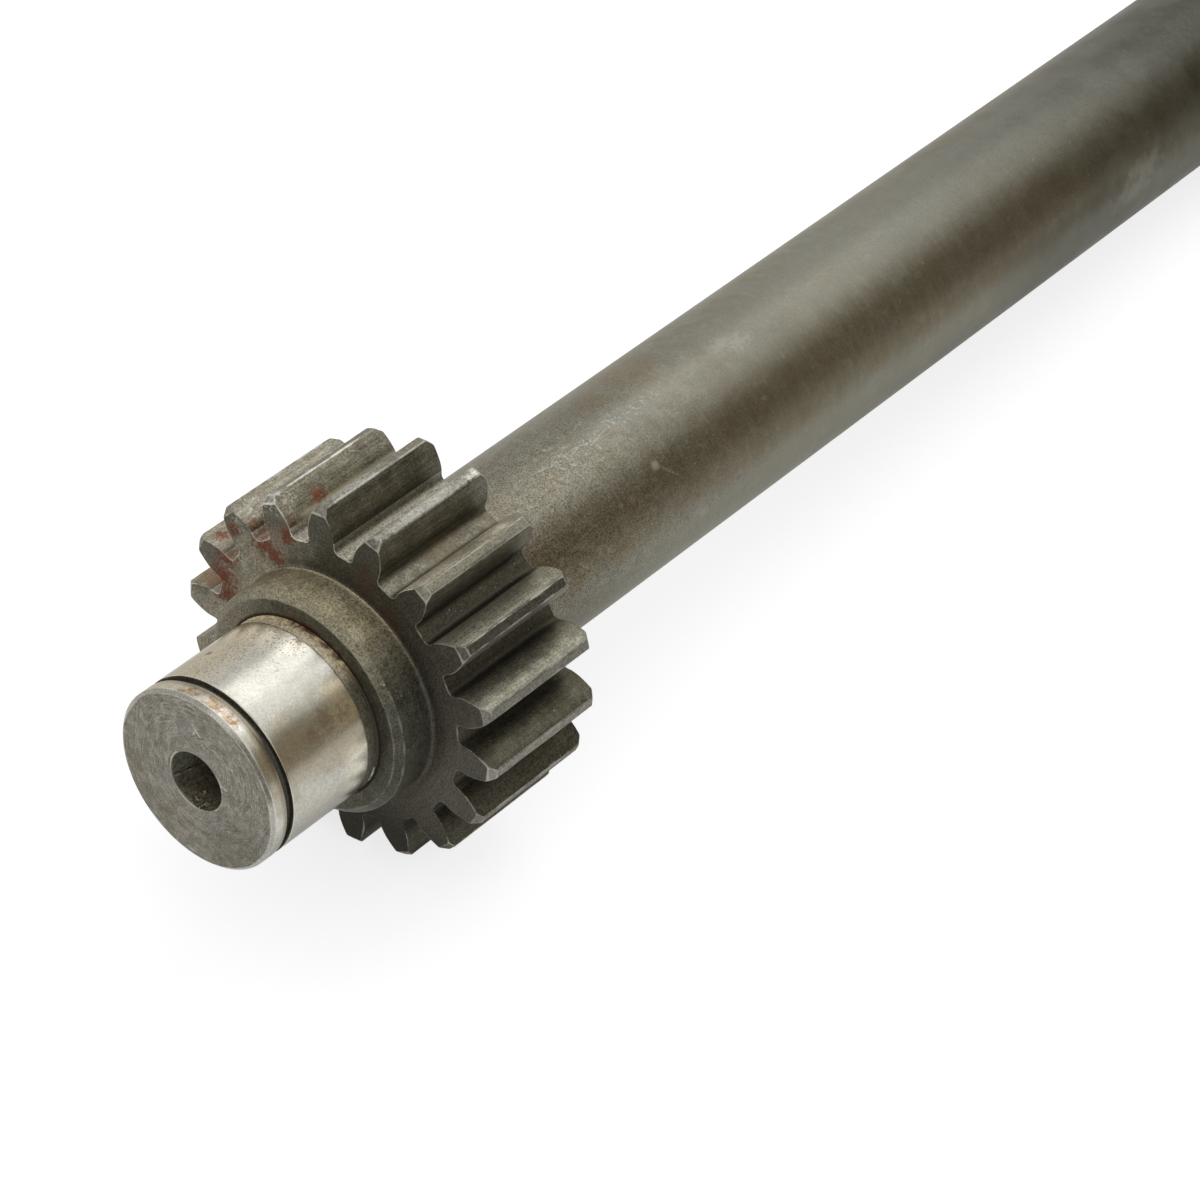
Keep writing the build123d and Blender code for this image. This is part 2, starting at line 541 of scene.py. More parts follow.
def make_worn_edges():
    """Bright metal where handling has rubbed the outer edges, broken up unevenly."""
    wiring, given, finished = effect("worn_edges", "Rubbed", Wear=0.0, Amount=0.5)
    fine = wiring.noise(given["Position"], 1300.0, 3.0, 0.65)
    broad = wiring.noise(given["Position"], 220.0, 2.0, 0.5)
    uneven = wiring.sum(wiring.product(fine, 1.1), wiring.product(broad, 2.6))
    level = wiring.sum(given["Wear"], wiring.math("SUBTRACT", uneven, 1.9))
    start = wiring.math("SUBTRACT", 1.25, given["Amount"])
    rubbed = wiring.remap(level, start, wiring.sum(start, 0.5))
    return finished(wiring.product(rubbed, wiring.remap(given["Wear"], 0.03, 0.3)))


def make_corner_rust():
    """Rust in the corner between the journal and the collar, broken up, and on the upper side only."""
    wiring, given, finished = effect("corner_rust", "Rust", Grain=0.0016)
    x, y, z = wiring.parts(given["Position"])
    along = wiring.remap(x, 0.0251, 0.0264)
    outward = wiring.remap(wiring.from_axis(y, z), 0.0189, 0.0178)
    upper = wiring.product(wiring.remap(z, 0.0128, 0.0152), wiring.remap(y, 0.008, 0.002))
    cloud = wiring.noise(given["Position"], wiring.math("DIVIDE", 1.0, given["Grain"]), 4.0, 0.7)
    return finished(wiring.product(along, outward, upper, wiring.remap(cloud, 0.4, 0.56)))


def make_lit_side_of_teeth():
    """Where the worn tooth edges get a painted highlight: most near the tips, and on one side of the shaft
    only.
    """
    wiring, given, finished = effect("lit_side_of_teeth", "Share")
    _, y, z = wiring.parts(given["Position"])
    tips = wiring.remap(wiring.from_axis(y, z), 0.03, 0.0338, 0.15, 1.0)
    return finished(wiring.product(tips, wiring.remap(y, 0.004, 0.014)))


def make_broken(name, output, scale, detail, roughness, low, high):
    """Breaks a patch up with a fine grain of its own, which is crisper the nearer low and high lie."""
    wiring, given, finished = effect(name, output, Patch=1.0)
    grain = wiring.remap(wiring.noise(given["Position"], scale, detail, roughness), low, high)
    return finished(wiring.product(given["Patch"], grain))


TOOL_LINES = make_tool_lines()
TOOTH_STREAKS = make_tooth_streaks()
MOTTLE = make_mottle()
GRIT = make_grit()
SPECKS = make_specks()
PATCH = make_patch()
SCRATCH = make_scratch()
WORN_EDGES = make_worn_edges()
CORNER_RUST = make_corner_rust()
LIT_SIDE_OF_TEETH = make_lit_side_of_teeth()
RUST_GRAIN = make_broken("rust_grain", "Rust", 1700.0, 2.0, 0.6, 0.28, 0.42)
RUST_FRESHNESS = make_broken("rust_freshness", "Fresh", 1100.0, 2.0, 0.7, 0.34, 0.56)
FLECKS = make_broken("flecks", "Fleck", 1300.0, 3.0, 0.7, 0.53, 0.6)

RUST = (0.23, 0.051, 0.021)
OLD_RUST = (0.1, 0.045, 0.03)
CORNER_CRUST = (0.055, 0.022, 0.013)
BRIGHT = (0.40, 0.385, 0.34)
DEEP_SHADE = (0.026, 0.023, 0.016)
PALE_SPECK = (0.34, 0.33, 0.27)
RUBBED_TOOTH = (0.32, 0.31, 0.26)
SCALE_METALLIC = 0.65
DULL_EDGE = (0.55, 0.53, 0.47)


def millimetres(place):
    return tuple(value * MM for value in place)


class Finish(Wiring):
    """A material whose base colour is laid on in layers, over the place on the shaft.

    x, y and z are the place, radius is the distance from the axis, and wear and recess are marks on the mesh.
    Limits are given in millimetres as x=(start, full), or x=(start, full, still full, end) for a band.
    """

    def __init__(self, name, roughness=0.4, metallic=1.0, edge=(1.0, 1.0, 1.0)):
        self.material = bpy.data.materials.new(name)
        self.material.use_nodes = True
        super().__init__(self.material.node_tree)
        self.shader = self.tree.nodes["Principled BSDF"]
        self.shader.inputs["Metallic"].default_value = metallic
        self.shader.inputs["Roughness"].default_value = roughness
        self.shader.inputs["Specular Tint"].default_value = colour(edge)
        self.place = self.add("ShaderNodeTexCoord").outputs["Object"]
        self.x, self.y, self.z = self.parts(self.place)
        self.radius = self.from_axis(self.y, self.z)
        self.wear = self.add("ShaderNodeAttribute", attribute_name="wear").outputs["Fac"]
        self.recess = self.add("ShaderNodeAttribute", attribute_name="recess").outputs["Fac"]

    # Masks
    def band(self, value, start, full, still_full=None, end=None):
        """Rises from 0 to 1 between two places, and falls again between two more where they are given."""
        rise = self.remap(value, start * MM, full * MM)
        return rise if end is None else self.product(rise, self.remap(value, end * MM, still_full * MM))

    def bands(self, limits):
        return [self.band(getattr(self, axis), *places) for axis, places in limits.items()]

    def within(self, **limits):
        return self.product(*self.bands(limits))

    def apart_from(self, mask, share=1.0):
        """1 away from the mask, and less by this share where it is."""
        return self.scaled(mask, -share, 1.0)

    def wavy(self, value, cloud, by):
        """A distance that wavers by this many millimetres with the cloud."""
        return self.sum(value, self.scaled(cloud, by * MM, -by * MM / 2))

    def shared(self, tree, **inputs):
        """A shared effect, placed with its own values."""
        return self.add("ShaderNodeGroup", {"Position": self.place} | inputs, node_tree=tree).outputs[0]

    def lines(self, across, pitch, drift):
        return self.shared(TOOL_LINES, Across=across, Pitch=pitch * MM, Drift=drift)

    def cloud(self, size, low=0.35, high=0.65):
        return self.shared(MOTTLE, Size=size * MM, Low=low, High=high)

    def grit(self, size):
        return self.shared(GRIT, Size=size * MM)

    def specks(self, spacing, share, dot=0.25):
        return self.shared(SPECKS, Spacing=spacing * MM, Share=share, Dot=dot)

    def patches(self, spots, grain=1.2, ragged=1.0, stretch=(1, 1, 1)):
        """The strongest of several ragged patches, each given as (x, y, z, radius)."""
        made = []
        for *centre, radius in spots:
            sizes = {"Centre": millimetres(centre), "Radius": radius * MM, "Grain": grain * MM}
            made.append(self.shared(PATCH, **sizes, Stretch=stretch, Ragged=ragged))
        return self.strongest(*made)

    def scratches(self, runs, width):
        """Several scratches, each given as (start, end)."""
        ends = [{"Start": millimetres(start), "End": millimetres(end)} for start, end in runs]
        return self.strongest(*[self.shared(SCRATCH, **pair, Width=width * MM) for pair in ends])

    def rubbed(self, amount):
        return self.shared(WORN_EDGES, Wear=self.wear, Amount=amount)

    def worn_edge_highlight(self):
        """Worn tooth edges with a painted highlight, most near the tips and on one side of the shaft only."""
        return self.product(self.rubbed(0.62), self.shared(LIT_SIDE_OF_TEETH))

    # Layers
    def start(self, mask, low, high):
        """The first layer, between two colours."""
        self.base = self.mix(mask, low, high)

    def tint(self, shade, strength, *masks, **limits):
        """Lays a colour over the base at this strength, where the masks are and within the limits."""
        self.base = self.mix(self.product(strength, *masks, *self.bands(limits)), self.base, shade)

    def multiply(self, factors, *masks, **limits):
        """Multiplies the base by these factors, where the masks are and within the limits."""
        self.base = self.mix(self.product(1.0, *masks, *self.bands(limits)), self.base, factors, "MULTIPLY")

    def grained(self, grain, depth):
        """Darkens and lightens the base with the grain, by this share each way."""
        self.multiply(self.scaled(grain, 2 * depth, 1 - depth))

    def rust(self, mask, strength):
        """Lays on red rust with older brown rust in between."""
        self.tint(self.mix(self.shared(RUST_FRESHNESS), OLD_RUST, RUST), strength, mask)

    def bump(self, height, depth):
        """Raises the surface by height times depth, in millimetres."""
        inputs = {"Height": height, "Distance": depth * MM, "Strength": 1.0}
        return self.add("ShaderNodeBump", inputs).outputs[0]

    def close(self, roughness=None, normal=None, metallic=None):
        """Links what varies to the shader and gives the material."""
        wanted = {"Base Color": self.base, "Roughness": roughness, "Normal": normal, "Metallic": metallic}
        for key, value in wanted.items():
            if value is not None:
                self.tree.links.new(value, self.shader.inputs[key])
        return self.material


# One finish for each zone of the surface
def bore_wall():
    finish = Finish("drilled_bore", roughness=0.55, metallic=0.4, edge=DULL_EDGE)
    grit = finish.grit(0.6)
    lines = finish.lines(finish.x, 0.5, 90.0)
    finish.start(finish.cloud(3.0), (0.27, 0.26, 0.2), (0.37, 0.36, 0.285))
    finish.tint((0.165, 0.13, 0.08), 0.85, z=(0, -5))
    finish.tint((0.12, 0.112, 0.085), 0.3, lines)
    finish.grained(grit, 0.5)
    finish.tint((0.02, 0.018, 0.014), 1.0, finish.scratches([((0.1, 5.4, -2.0), (7.5, 4.7, -3.4))], 0.22))
    ticks = [((0.5, 5.2, -2.4), (1.6, 5.1, -2.7)), ((3.0, 5.0, -2.9), (4.2, 4.85, -3.05))]
    finish.tint((0.6, 0.58, 0.5), 1.0, finish.scratches(ticks, 0.16))
    dust = finish.product(finish.patches([(1.1, 0.1, -5.7, 3.2)], 0.5, 1.2), finish.specks(0.36, 0.9, 0.4))
    dust = finish.strongest(dust, finish.patches([(3.6, 1.2, -5.6, 0.3)], 0.5, 0.3))
    finish.tint((0.9, 0.82, 0.62), 1.0, dust)
    finish.tint((0.55, 0.51, 0.42), 0.7, finish.specks(0.9, 0.15, 0.2))
    finish.tint(BRIGHT, 0.7, finish.rubbed(0.65))
    bump = finish.bump(finish.sum(lines, grit), 0.012)
    return finish.close(normal=bump, metallic=finish.scaled(dust, -0.4, 0.4))


def turned_end():
    finish = Finish("turned_end_face", roughness=0.42)
    # Rings about the axis, and a swirl about a point beside it
    rings = finish.lines(finish.radius, 0.29, 260.0)
    aside = finish.from_axis(finish.sum(finish.y, 3.5 * MM), finish.sum(finish.z, -4.5 * MM))
    marks = finish.mix(finish.cloud(3.0, 0.4, 0.6), rings, finish.lines(aside, 0.27, 290.0))
    shown = finish.scaled(finish.cloud(5.0, 0.34, 0.6), 0.8, 0.2)
    marks = finish.sum(finish.product(finish.scaled(marks, 1.25, -0.625), shown), 0.5)
    finish.start(marks, (0.085, 0.08, 0.063), (0.34, 0.325, 0.278))
    finish.tint((0.2, 0.172, 0.12), 0.4, finish.cloud(7.0, 0.35, 0.62))
    finish.tint((0.11, 0.1, 0.074), 0.5, finish.cloud(2.4, 0.42, 0.6))
    finish.tint((0.3, 0.292, 0.262), 0.45, finish.cloud(1.4, 0.5, 0.66))
    blots = [(0, 14.1, -4.0, 4.0), (0, 11.7, -10.2, 4.0), (0, 6.5, -12.0, 3.5)]
    finish.tint((0.12, 0.1, 0.066), 0.45, finish.patches(blots, 2.0, 1.2))
    finish.tint((0.1, 0.092, 0.07), 0.35, z=(-1, -6), y=(1, -6))
    finish.grained(finish.grit(0.3), 0.4)
    nicks = [((0, 1.3, 12.0), (0, -0.6, 10.4)), ((0, 0.6, 11.3), (0, 0.9, 10.2))]
    nicks += [((0, -5.2, 3.6), (0, -6.0, 1.4)), ((0, -5.9, 2.6), (0, -6.9, 2.2))]
    nicks += [((0, -7.2, 8.6), (0, -8.4, 6.9))]
    finish.tint((0.45, 0.44, 0.4), 1.0, finish.scratches(nicks, 0.3))
    finish.tint(BRIGHT, 0.7, finish.rubbed(0.7))
    return finish.close(finish.scaled(marks, 0.1, 0.36), finish.bump(marks, 0.003))


def chamfer_steel():
    finish = Finish("end_chamfer", roughness=0.34)
    finish.start(finish.cloud(2.5), (0.17, 0.163, 0.138), (0.25, 0.242, 0.21))
    # Painted light and shade: paler on the upper and lower sides, a painted highlight near the top, and a
    # painted dark reflection band down the right side
    finish.tint((0.31, 0.294, 0.25), 0.8, z=(4, 12))
    finish.tint((0.56, 0.54, 0.49), 0.7, y=(-1, -3), z=(14.5, 16.5))
    finish.tint((0.11, 0.104, 0.082), 0.75, y=(-5, -8), z=(5.5, 7.5, 13.5, 15.5))
    finish.tint((0.42, 0.41, 0.37), 0.75, z=(6.5, 3.5))
    finish.grained(finish.grit(0.3), 0.3)
    finish.tint((0.5, 0.48, 0.43), 0.4, finish.rubbed(0.5))
    return finish.close()


def ground_steel():
    finish = Finish("ground_journal", roughness=0.27, edge=(0.84, 0.83, 0.79))
    fine = finish.lines(finish.x, 0.26, 110.0)
    finish.start(fine, (0.484, 0.467, 0.411), (0.498, 0.481, 0.425))
    finish.tint((0.4, 0.38, 0.32), 0.35, finish.cloud(3.5, 0.4, 0.7))
    finish.tint((0.36, 0.332, 0.262), 0.4, finish.cloud(1.1, 0.45, 0.72))
    # Painted shade where the highlight falls along the top: greyer and darker there
    dimmed_highlight = finish.mix(finish.cloud(4.0, 0.3, 0.6), (0.34, 0.33, 0.295), (0.42, 0.41, 0.372))
    finish.tint(dimmed_highlight, 0.65, y=(4, -1), z=(10.5, 14))
    finish.tint((0.42, 0.367, 0.263), 1.0, finish.cloud(6.0, 0.12, 0.42), y=(0, 9), z=(0, 9))
    # Painted shade in the bright band beyond the groove
    finish.tint((0.25, 0.243, 0.213), 0.45, x=(4.2, 5.5), y=(-9.2, -7.9, -6.6, -4.5))
    finish.tint((0.2, 0.165, 0.11), 0.52, x=(19, 16), y=(8.5, 11.5))
    finish.multiply((1.12, 1.13, 1.16), x=(3.6, 3.2), y=(9, 5))
    # Painted shade: darker underneath, darker still near the bottom
    finish.tint((0.22, 0.213, 0.184), 0.84, z=(1, -8))
    finish.tint((0.07, 0.067, 0.055), 0.7, z=(-4, -9))
    # A brown stain lies along the side, with a ragged lower border
    drop = finish.wavy(finish.z, finish.cloud(5.0, 0.2, 0.8), 5.0)
    finish.tint((0.36, 0.303, 0.206), 0.55, finish.band(drop, 3, 7.5, 12.5, 15), y=(0, -6))
    finish.tint((0.24, 0.21, 0.15), 0.35, finish.band(drop, 2, 5, 7.5, 9.5))
    # The end next to the collar is a little paler, except in the bright band and in the stain
    paler = finish.product(
        finish.apart_from(finish.within(y=(-10.5, -9, -4, -1))),
        finish.apart_from(finish.within(z=(5, 7, 8.5, 9.5)), 0.8),
    )
    finish.multiply((1.45, 1.42, 1.35), paler, x=(16.5, 21.5))
    # Painted highlight: a paler strip along the lower border of the bright band
    finish.multiply((1.14, 1.14, 1.1), y=(-11.8, -10.8, -9.2, -8.3))
    finish.grained(finish.grit(0.4), 0.12)
    # Pits lie close together along the top and thin out down the side
    crowd = [(10.0, 8.0, 15.6, 9.5), (19.0, 6.0, 16.4, 9.5), (22.0, -0.5, 17.5, 5.0)]
    crowd = finish.patches(crowd, 2.5, 1.3)
    flecks = finish.remap(finish.noise(finish.place, 2300.0, 2.0, 0.75), 0.545, 0.62)
    finish.tint((0.17, 0.15, 0.11), 0.8, flecks, crowd)
    finish.tint((0.08, 0.07, 0.05), 0.85, finish.specks(0.6, 0.6, 0.25), finish.scaled(crowd, 0.95, 0.05))
    finish.tint((0.19, 0.16, 0.105), 0.5, finish.specks(1.1, 0.35, 0.13))
    marks = [((15.7, -14.0, 10.5), (22.4, -14.8, 9.3)), ((12.0, -13.8, 10.8), (15.9, -14.3, 10.1))]
    marks += [((18.0, -13.0, 11.7), (21.5, -14.2, 10.2)), ((17.0, -14.6, 9.6), (20.2, -15.1, 8.8))]
    finish.tint((0.55, 0.52, 0.44), 0.5, finish.scratches(marks, 0.3))
    blots = [(16.8, -13.2, 11.5, 2.2), (21.0, -13.8, 10.8, 1.9), (13.0, -14.0, 10.4, 1.6)]
    finish.tint((0.27, 0.185, 0.12), 0.5, finish.patches(blots, 1.0, 1.2))
    # Rust stains the ring land, with darker veins in it
    film = finish.patches([(1.5, 3.4, 17.1, 2.8), (2.0, -1.6, 17.4, 3.0), (1.4, -5.5, 16.6, 2.2)], 1.4)
    finish.tint((0.4, 0.305, 0.19), 0.8, film)
    finish.tint((0.2, 0.11, 0.06), 0.65, film, finish.remap(finish.noise(finish.place, 1300.0), 0.48, 0.54))
    spots = [(24.0, 4.0, 17.0, 1.5), (23.6, -1.3, 17.5, 1.0), (13.0, 9.5, 14.7, 0.8)]
    spots = finish.patches(spots, 0.7, 1.3)
    finish.tint((0.24, 0.11, 0.055), 0.75, spots)
    finish.tint((0.55, 0.53, 0.48), 0.8, finish.rubbed(0.8))
    # The ring land is darker where it borders the groove
    finish.tint((0.16, 0.13, 0.085), 0.75, x=(1.9, 3.3, 4.0, 4.2))
    dull = finish.sum(finish.scaled(film, 0.12), finish.scaled(spots, 0.25))
    wave = finish.sum(finish.scaled(finish.cloud(6.0, 0.2, 0.8), 0.018), finish.scaled(fine, 0.00007))
    return finish.close(finish.sum(finish.scaled(fine, 0.012, 0.26), dull), finish.bump(wave, 1.0))


def groove_steel():
    finish = Finish("ring_groove_floor", roughness=0.6, metallic=0.6, edge=DULL_EDGE)
    grit = finish.grit(0.4)
    # Near black, partly oily dirt and partly painted shade
    finish.start(grit, (0.03, 0.028, 0.02), (0.09, 0.087, 0.065))
    # Painted light: the floor is paler on the right, and the front of the groove much paler away from the
    # right
    floor = finish.mix(grit, (0.09, 0.084, 0.062), (0.165, 0.157, 0.12))
    finish.tint(floor, 0.85, radius=(16.8, 16.55), y=(-4, -12))
    finish.tint((0.62, 0.56, 0.43), 0.92, x=(4.75, 4.4), y=(-11.5, -7.5))
    finish.tint((0.24, 0.23, 0.19), 0.6, finish.rubbed(0.5))
    return finish.close()


def relief_steel():
    finish = Finish("relief_strip", roughness=0.5, metallic=0.75)
    grit = finish.grit(0.4)
    finish.start(finish.cloud(2.5), (0.55, 0.48, 0.35), (0.68, 0.61, 0.47))
    # Painted light and shade: darker on the right, much lighter towards the collar corner on the upper side,
    # and darker underneath
    finish.tint((0.115, 0.108, 0.08), 0.88, y=(-8, -12.5))
    finish.multiply((0.93, 0.91, 0.88))
    finish.multiply((2.0, 1.88, 1.7), x=(24.5, 26.2), y=(-13, -9))
    finish.tint((0.19, 0.178, 0.14), 0.7, z=(4, -2))
    finish.grained(grit, 0.45)
    # Painted shade in the corner
    finish.tint((0.07, 0.062, 0.045), 0.45, finish.recess, x=(24.8, 25.8))
    finish.tint(CORNER_CRUST, 0.9, finish.shared(CORNER_RUST))
    burr = finish.scratches([((26.4, -15.8, -7.2), (26.1, -17.0, -3.4))], 0.5)
    finish.tint((0.9, 0.87, 0.78), 1.0, burr)
    metallic = finish.math("SUBTRACT", finish.scaled(finish.recess, 0.25, 0.75), finish.scaled(burr, 0.75))
    rough = finish.sum(finish.scaled(grit, 0.12, 0.42), finish.scaled(finish.recess, 0.4))
    return finish.close(rough, finish.bump(grit, 0.008), metallic)


def shoulder_steel():
    finish = Finish("shoulder_face", roughness=0.5, metallic=SCALE_METALLIC, edge=DULL_EDGE)
    grit = finish.grit(0.4)
    finish.start(finish.cloud(2.5), (0.078, 0.074, 0.054), (0.104, 0.1, 0.075))
    # Painted light on the left side
    finish.tint((0.2, 0.176, 0.128), 0.85, y=(7, 19))
    finish.grained(grit, 0.5)
    # Painted shade in the corner
    finish.tint((0.04, 0.036, 0.026), 0.8, finish.recess)
    finish.tint(CORNER_CRUST, 0.9, finish.shared(CORNER_RUST))
    finish.tint((0.4, 0.39, 0.34), 1.0, finish.specks(1.3, 0.3, 0.13))
    finish.tint((0.26, 0.25, 0.2), 0.6, finish.rubbed(0.6))
    metallic = finish.scaled(finish.recess, 1.0 - SCALE_METALLIC, SCALE_METALLIC)
    rough = finish.sum(finish.scaled(grit, 0.12, 0.42), finish.scaled(finish.recess, 0.4))
    return finish.close(rough, finish.bump(grit, 0.008), metallic)


def collar_steel():
    finish = Finish("collar_scale", roughness=0.52, metallic=0.5, edge=DULL_EDGE)
    grit = finish.grit(0.4)
    finish.start(finish.cloud(2.5), (0.065, 0.062, 0.045), (0.09, 0.086, 0.065))
    lit = finish.mix(finish.cloud(3.0), (0.34, 0.29, 0.175), (0.42, 0.372, 0.248))
    finish.tint(lit, 0.9, y=(-19.5, -7), z=(0, 12))
    # Painted shade on the left side, and a painted highlight on the chamfer on the right
    finish.tint((0.16, 0.13, 0.08), 0.6, y=(9, 16.5))
    finish.tint((0.2, 0.185, 0.135), 0.5, x=(28.6, 27.9), y=(-20.5, -10))
    finish.grained(grit, 0.55)
    finish.tint((0.4, 0.38, 0.31), 1.0, finish.specks(1.1, 0.4, 0.15))
    finish.tint((0.27, 0.256, 0.205), 0.5, finish.rubbed(0.58))
    return finish.close(finish.scaled(grit, 0.12, 0.45), finish.bump(grit, 0.01))


def gear_face_steel():
    finish = Finish("gear_face", roughness=0.5, metallic=SCALE_METALLIC, edge=DULL_EDGE)
    grit = finish.grit(0.42)
    lines = finish.lines(finish.radius, 0.3, 160.0)
    finish.start(finish.cloud(4.0), (0.066, 0.06, 0.044), (0.084, 0.077, 0.058))
    # Painted light: paler towards the right, and in a wavering band up the left side
    finish.tint((0.105, 0.096, 0.073), 0.8, y=(-17, -23))
    left = finish.wavy(finish.y, finish.cloud(5.0, 0.2, 0.8), 8.0)
    paler = finish.mix(finish.cloud(2.5), (0.21, 0.19, 0.132), (0.29, 0.266, 0.2))
    finish.tint(paler, 0.9, finish.band(left, 3, 19))
    lower_left = finish.within(z=(3, -2), y=(15, 20))
    teeth = finish.product(finish.cloud(5.0, 0.3, 0.55), finish.apart_from(lower_left, 0.75))
    finish.tint((0.075, 0.07, 0.055), 0.75, teeth, radius=(27.5, 30.5))
    finish.tint((0.33, 0.3, 0.22), 0.3, lower_left)
    # Painted shade: darker low down except on the left, near black at the bottom, and a painted contact
    # shadow on the face next to the collar, away from the left
    finish.tint((0.042, 0.039, 0.028), 0.7, z=(-8, -24), y=(20, 8))
    finish.tint((0.014, 0.013, 0.009), 0.75, z=(-19.5, -26.5))
    finish.tint((0.05, 0.045, 0.032), 0.5, radius=(25.5, 22.7), y=(13, 3))
    finish.grained(finish.sum(finish.scaled(grit, 0.8), finish.scaled(lines, 0.2)), 0.65)
    film = finish.patches([(35.3, 26.0, 8.0, 5.0), (35.3, 15.6, 21.5, 5.0)], 1.5, 0.9)
    finish.tint((0.15, 0.08, 0.048), 0.35, film)
    spots = [(26.9, 7.8, 3.3), (26.0, 12.5, 2.6), (17.8, 20.2, 3.0), (26.1, 4.2, 2.8)]
    spots += [(12.6, 25.3, 2.2), (24.0, 3.4, 2.6), (15.0, 19.4, 2.2), (24.6, 19.6, 1.7)]
    spots = [(GEAR_FRONT, *spot) for spot in spots]
    rust = finish.shared(RUST_GRAIN, Patch=finish.patches(spots, 0.8, 1.25))
    finish.rust(rust, 0.9)
    film = finish.patches([(35.3, -6.0, 25.5, 4.5), (35.3, -11.0, 21.5, 3.5)], 3.0, 0.7)
    finish.tint((0.085, 0.045, 0.03), 0.45, film)
    worn = finish.patches([(35.3, 17.0, 30.0, 2.4), (35.3, 24.0, 23.0, 2.2)], 0.8, 1.3)
    finish.tint((0.45, 0.435, 0.37), 0.8, finish.shared(FLECKS, Patch=worn))
    finish.tint((0.3, 0.29, 0.24), 1.0, finish.specks(1.2, 0.3, 0.12))
    outer = finish.remap(finish.radius, 29 * MM, 34 * MM, 0.3, 1.0)
    finish.tint((0.28, 0.27, 0.22), 0.75, finish.rubbed(0.68), outer)
    rough = finish.sum(finish.scaled(grit, 0.12, 0.44), finish.scaled(rust, 0.3))
    return finish.close(rough, finish.bump(grit, 0.014), finish.scaled(rust, -0.55, SCALE_METALLIC))


def plus_side_flank_steel():
    """The flanks on the plus side of each tooth space, lighter than the other flanks as painted light: dark
    at the root, paler towards the tip, darker on the lower teeth as painted shade.
    """
    finish = Finish("plus_side_flank", roughness=0.47, metallic=0.75, edge=DULL_EDGE)
    grit = finish.grit(0.36)
    finish.start(finish.cloud(3.0), (0.135, 0.126, 0.088), (0.2, 0.187, 0.137))
    # Painted light and shade: paler towards the tip, much paler on the upper teeth and palest on the top
    # teeth away from the back, darker at the back of the upper teeth, and darker on the lower teeth down to
    # near black at the bottom
    climb = finish.wavy(finish.radius, finish.cloud(4.0), 1.6)
    pale = finish.mix(finish.cloud(2.0), (0.25, 0.236, 0.182), (0.34, 0.325, 0.26))
    finish.tint(pale, 0.85, finish.band(climb, 31.5, 35.2))
    finish.tint((0.35, 0.327, 0.247), 0.8, z=(15, 21))
    finish.tint((0.8, 0.715, 0.545), 0.9, z=(24.5, 27.5), x=(60.5, 57.5))
    finish.tint((0.1, 0.094, 0.07), 0.4, z=(14, 18), x=(58, 61))
    finish.multiply((0.27, 0.255, 0.215), z=(9, -1))
    finish.tint((0.09, 0.084, 0.068), 0.5, z=(-5, -10))
    finish.tint((0.03, 0.027, 0.019), 0.5, z=(-17, -24))
    finish.tint((0.006, 0.006, 0.004), 0.9, z=(-28, -30.5))
    finish.grained(finish.shared(TOOTH_STREAKS), 0.17)
    finish.grained(grit, 0.48)
    finish.tint(DEEP_SHADE, 0.7, finish.recess, finish.apart_from(finish.within(z=(13, 17)), 0.85))
    brown = finish.patches([(50.0, -15.6, 31.8, 6.0), (61.5, -10.6, 26.5, 3.5)], 2.0)
    finish.tint((0.2, 0.15, 0.078), 0.5, brown)
    finish.tint(PALE_SPECK, 1.0, finish.specks(1.1, 0.35, 0.13))
    finish.tint(RUBBED_TOOTH, 0.7, finish.rubbed(0.7))
    return finish.close(finish.scaled(grit, 0.14, 0.38), finish.bump(grit, 0.012))


